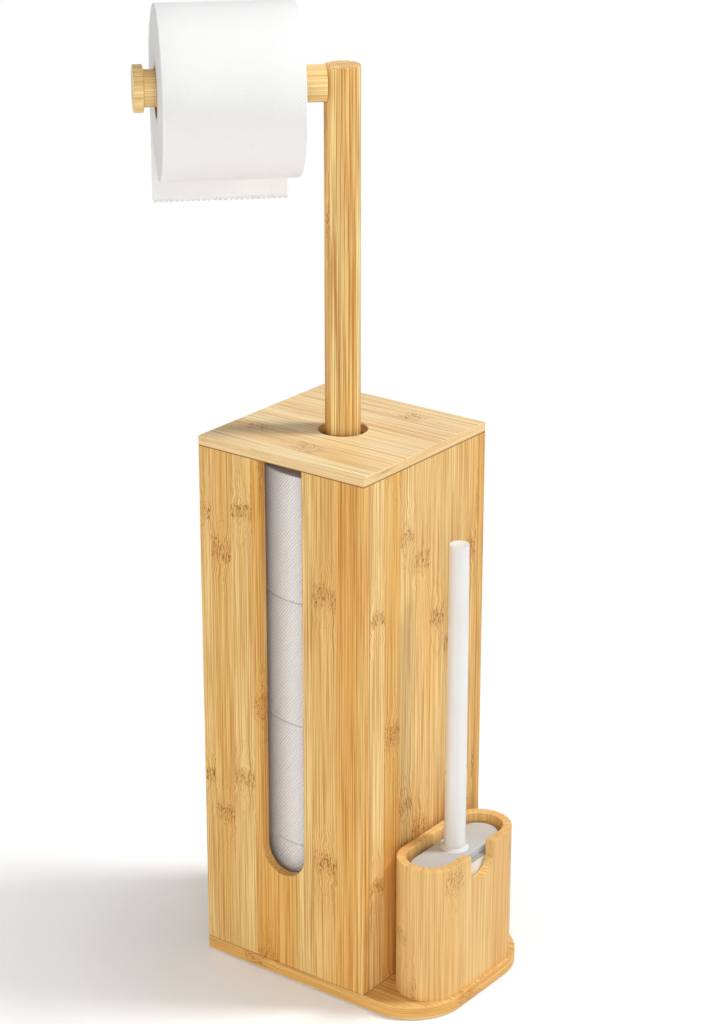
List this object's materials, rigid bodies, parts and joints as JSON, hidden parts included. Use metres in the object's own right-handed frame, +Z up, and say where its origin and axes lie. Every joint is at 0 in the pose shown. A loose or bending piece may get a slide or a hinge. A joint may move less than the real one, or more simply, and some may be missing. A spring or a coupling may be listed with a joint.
{
  "type": "toilet butler",
  "caption": "Free-standing bamboo toilet roll stand: square storage tower with a slotted front, swivelling roll arm on a central post, and a holder with cup and toilet brush",
  "frame": {"origin": "on the floor, on the axis of the post, which is the middle of the tower", "axes": "+Z up along the post, +X to the right along the front towards the brush holder, +Y to the back"},
  "size_m": [0.287, 0.2249, 0.7883],
  "materials": {
    "bamboo_panel": "laminated bamboo strips, satin varnish",
    "bamboo_rod": "turned laminated bamboo, satin varnish",
    "bamboo_holder": "bent bamboo, satin varnish",
    "raw_bamboo": "sawn bamboo, unvarnished",
    "foot_rubber": "matt black rubber",
    "zinc_steel": "zinc plated steel",
    "insert_brass": "plain brass",
    "bush_nylon": "natural nylon",
    "white_plastic": "white moulded polypropylene, light gloss",
    "grey_plastic": "pale grey moulded polypropylene",
    "blade_plastic": "stiff grey plastic",
    "grey_silicone": "soft pale grey silicone rubber",
    "tissue": "embossed white tissue",
    "core_card": "wound grey-brown board"
  },
  "bodies": {
    "stand": {"base_plate": "bamboo_panel", "base_feet": "foot_rubber", "base_screws": "zinc_steel", "front_panel": "bamboo_panel", "back_panel": "bamboo_panel", "left_panel": "bamboo_panel", "right_panel": "bamboo_panel", "corner_battens": "raw_bamboo", "pivot_bush": "bush_nylon", "brush_holder": "bamboo_holder", "spare_roll_1": "tissue", "spare_core_1": "core_card", "spare_roll_2": "tissue", "spare_core_2": "core_card", "spare_roll_3": "tissue", "spare_core_3": "core_card", "spare_roll_4": "tissue", "spare_core_4": "core_card"},
    "lid": {"lid": "bamboo_panel", "lid_blocks": "raw_bamboo"},
    "swivel": {"post": "bamboo_rod", "pivot_insert": "insert_brass", "pivot_washer": "zinc_steel", "pivot_bolt": "zinc_steel", "arm": "bamboo_rod", "arm_insert": "insert_brass", "arm_stud": "zinc_steel", "arm_knob": "bamboo_rod", "knob_dowel": "raw_bamboo", "paper_tail": "tissue"},
    "roll": {"arm_roll": "tissue", "arm_roll_core": "core_card"},
    "cup": {"cup_shell": "white_plastic", "cup_liner": "grey_plastic"},
    "brush": {"brush_plate": "grey_plastic", "brush_handle": "white_plastic", "brush_blade": "blade_plastic", "brush_head": "grey_silicone"}
  },
  "joints": [
    {"name": "arm_swivel", "type": "hinge", "parent": "stand", "child": "swivel", "pos_m": [0, 0, 0], "axis": [0, 0, 1], "continuous": true},
    {"name": "roll_spin", "type": "hinge", "parent": "swivel", "child": "roll", "pos_m": [0, 0, 0.7228], "axis": [-0.7071, -0.7071, 0], "continuous": true},
    {"name": "lid_lift", "type": "slide", "parent": "stand", "child": "lid", "axis": [0, 0, 1], "range_m": [0, 0.15]},
    {"name": "cup_lift", "type": "slide", "parent": "stand", "child": "cup", "axis": [0, 0, 1], "range_m": [0, 0.12]},
    {"name": "brush_lift", "type": "slide", "parent": "cup", "child": "brush", "axis": [0, 0, 1], "range_m": [0, 0.102]}
  ]
}
